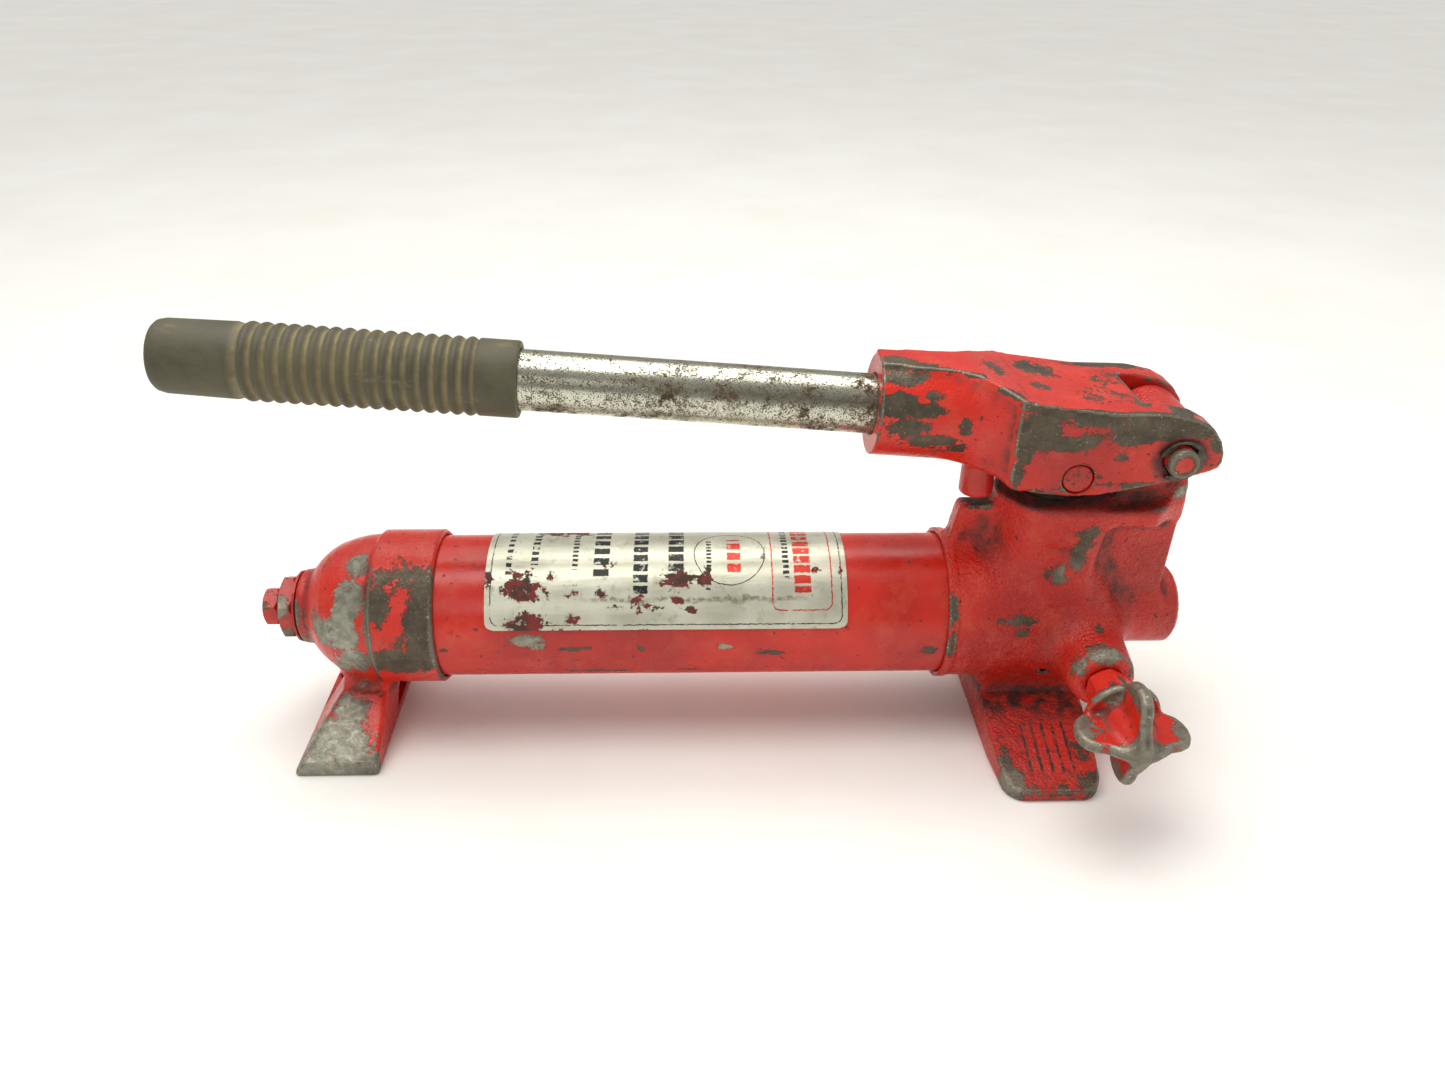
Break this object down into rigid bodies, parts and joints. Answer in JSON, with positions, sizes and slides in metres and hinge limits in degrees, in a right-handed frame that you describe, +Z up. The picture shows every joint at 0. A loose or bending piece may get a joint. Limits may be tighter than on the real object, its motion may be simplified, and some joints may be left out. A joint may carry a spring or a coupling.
{
  "type": "hydraulic hand pump",
  "caption": "Lever-operated hydraulic hand pump: cast head and end cap on a tubular oil reservoir, two cast feet, ribbed handle grip, outlet port, release knob and vent screw.",
  "frame": {"origin": "on the ground under the plunger's axis, on the flat underside of the front foot", "axes": "+X along the reservoir from the grip end to the outlet port, +Y away from the release knob, +Z up"},
  "size_m": [0.387, 0.158, 0.1703],
  "materials": {
    "red_paint": "worn gloss enamel over cast iron, chipped to bare metal",
    "handle_chrome": "bright plating with rust pits",
    "grip_rubber": "matte ribbed, dusty",
    "bare_steel": "plain turned",
    "blackened_steel": "black oxide, oily",
    "cast_zinc": "dull cast with paint left in the recesses",
    "seal_rubber": "matte",
    "brass": "plain turned",
    "label_foil": "printed foil, torn and scratched"
  },
  "bodies": {
    "pump": {"pump_body": "red_paint", "pump_body_tube_collar": "red_paint", "pump_body_outlet_boss": "red_paint", "reservoir_tube": "red_paint", "head_tube_seal": "seal_rubber", "cap_tube_seal": "seal_rubber", "end_cap": "red_paint", "reservoir_label": "label_foil", "tie_rod": "bare_steel", "tie_nut_washer": "bare_steel", "tie_rod_nut": "red_paint", "suction_seat": "brass", "suction_tube": "brass", "suction_strainer": "brass", "suction_spring": "bare_steel", "discharge_spring": "bare_steel", "discharge_retainer": "brass", "relief_spring": "bare_steel", "relief_screw": "blackened_steel", "plunger_packing": "seal_rubber", "plunger_backup_ring": "brass", "plunger_gland_nut": "bare_steel", "plunger_wiper": "seal_rubber", "release_gland_nut": "red_paint", "release_stem_seal": "seal_rubber"},
    "lever": {"lever_yoke": "red_paint", "handle_set_screw": "blackened_steel", "handle_tube": "handle_chrome", "handle_grip": "grip_rubber", "fulcrum_pin": "blackened_steel", "fulcrum_ring_front": "blackened_steel", "fulcrum_ring_rear": "blackened_steel", "plunger_pin": "blackened_steel"},
    "plunger": {"plunger": "handle_chrome"},
    "release_ball": {"release_ball": "bare_steel"},
    "release_valve": {"release_stem": "bare_steel", "release_knob": "cast_zinc", "release_knob_pin": "bare_steel"},
    "vent_seal": {"vent_screw_seal": "seal_rubber"},
    "vent_screw": {"vent_screw": "red_paint"},
    "suction_ball": {"suction_ball": "bare_steel"},
    "discharge_ball": {"discharge_ball": "bare_steel"},
    "relief_ball": {"relief_ball": "bare_steel"}
  },
  "joints": [
    {"name": "lever_pivot", "type": "hinge", "parent": "pump", "child": "lever", "pos_m": [0.0355, 0, 0.127], "axis": [0, 1, 0], "range_deg": [-3, 38]},
    {"name": "plunger_stroke", "type": "slide", "parent": "pump", "child": "plunger", "axis": [0, 0, 1], "range_m": [-0.0019, 0.0236]},
    {"name": "release_travel", "type": "slide", "parent": "pump", "child": "release_ball", "axis": [0, -1, 0], "range_m": [0, 0.0019]},
    {"name": "release_turn", "type": "hinge", "parent": "release_ball", "child": "release_valve", "pos_m": [0.016, -0.075, 0.045], "axis": [0, -1, 0], "range_deg": [0, 540]},
    {"name": "vent_travel", "type": "slide", "parent": "pump", "child": "vent_seal", "axis": [-1, 0, 0], "range_m": [0, 0.002]},
    {"name": "vent_turn", "type": "hinge", "parent": "vent_seal", "child": "vent_screw", "pos_m": [-0.31, 0, 0.049], "axis": [-1, 0, 0], "range_deg": [0, 720]},
    {"name": "suction_lift", "type": "slide", "parent": "pump", "child": "suction_ball", "axis": [1, 0, 0], "range_m": [0, 0.0012], "stiffness_N_per_m": 200, "springref_m": -0.002, "deforming": ["suction_spring"]},
    {"name": "discharge_lift", "type": "slide", "parent": "pump", "child": "discharge_ball", "axis": [1, 0, 0], "range_m": [0, 0.0015], "stiffness_N_per_m": 200, "springref_m": -0.002, "deforming": ["discharge_spring"]},
    {"name": "relief_lift", "type": "slide", "parent": "pump", "child": "relief_ball", "axis": [0, -1, 0], "range_m": [0, 0.0006], "stiffness_N_per_m": 200, "springref_m": -0.003, "deforming": ["relief_spring"]}
  ],
  "couplings": [
    {"joint": "plunger_stroke", "follows": "lever_pivot", "m_per_rad": 0.03552},
    {"joint": "release_turn", "follows": "release_travel", "rad_per_m": 4947.4},
    {"joint": "vent_turn", "follows": "vent_travel", "rad_per_m": 6283.2}
  ]
}
